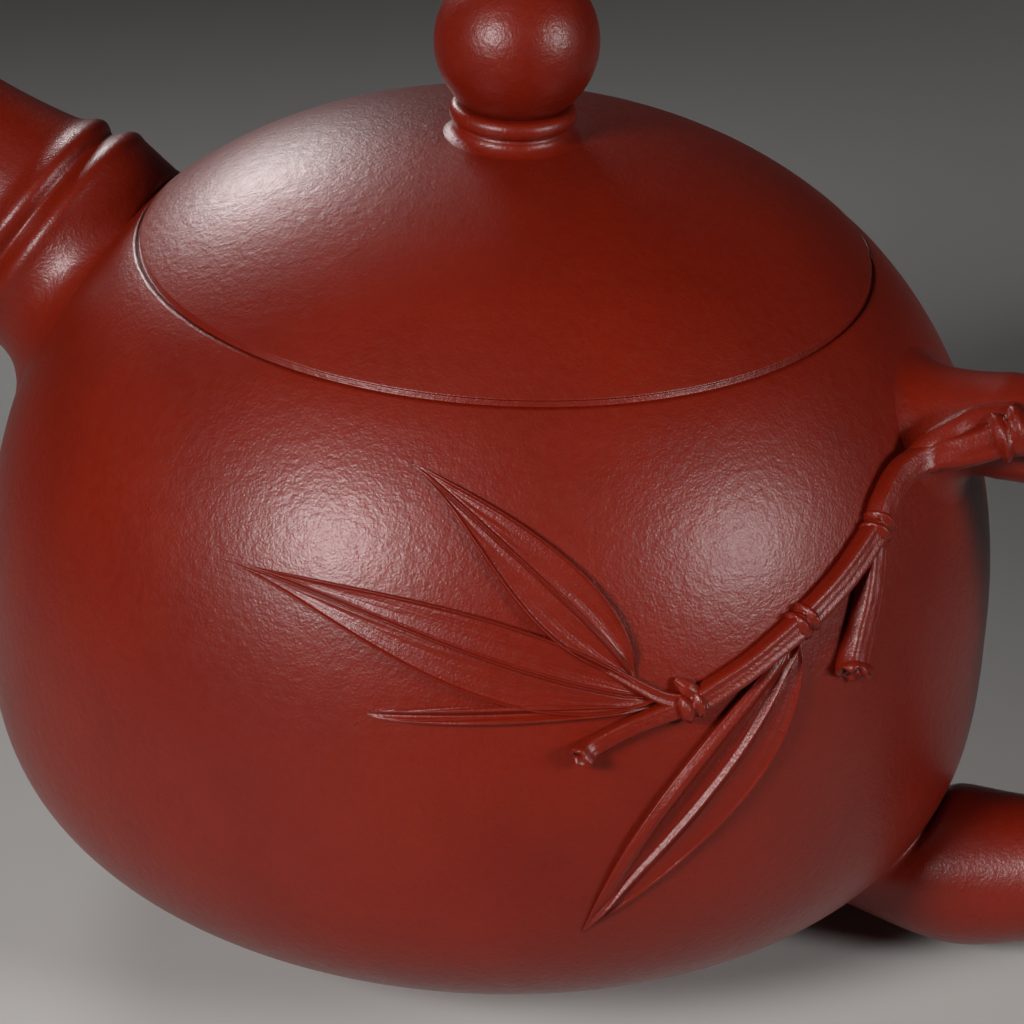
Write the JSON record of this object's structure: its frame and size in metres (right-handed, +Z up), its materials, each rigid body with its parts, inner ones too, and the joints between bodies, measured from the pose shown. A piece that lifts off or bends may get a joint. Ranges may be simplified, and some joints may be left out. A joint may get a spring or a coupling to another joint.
{
  "type": "teapot",
  "caption": "Round unglazed clay teapot with a lift-off lid and ball knob, short spout, loop handle and a bamboo spray applied to one side.",
  "frame": {"origin": "centre of the foot ring at the table plane, on the pot's own axis", "axes": "+Z up; +X from the pot's axis towards the handle, so the spout points along -X; the bamboo spray is on the -Y side"},
  "size_m": [0.1413, 0.09, 0.0867],
  "materials": {
    "clay": "unglazed fine red clay, burnished by hand to a satin sheen"
  },
  "bodies": {
    "pot": {"body_wall": "clay", "shoulder_disc": "clay", "base_disc": "clay", "foot_ring": "clay", "mouth_ring": "clay", "spout": "clay", "spout_node": "clay", "handle": "clay", "handle_node_top": "clay", "handle_node_back": "clay", "handle_node_low": "clay", "branch_on_handle": "clay", "branch_root_spur": "clay", "branch_length_1": "clay", "branch_length_2": "clay", "branch_length_3": "clay", "branch_node_0": "clay", "branch_node_1": "clay", "branch_node_2": "clay", "branch_node_3": "clay", "twig_stub_upper": "clay", "twig_stub_lower": "clay", "leaf_stem": "clay", "leaf_bud": "clay", "leaf_upper": "clay", "leaf_main": "clay", "leaf_folded": "clay", "leaf_hanging": "clay"},
    "lid": {"lid_dome": "clay", "lid_flange": "clay", "knob_foot_ring": "clay", "knob_neck_ring": "clay", "knob_ball": "clay"}
  },
  "joints": [
    {"name": "lid_lift", "type": "slide", "parent": "pot", "child": "lid", "axis": [0, 0, 1], "range_m": [0, 0.06]}
  ]
}
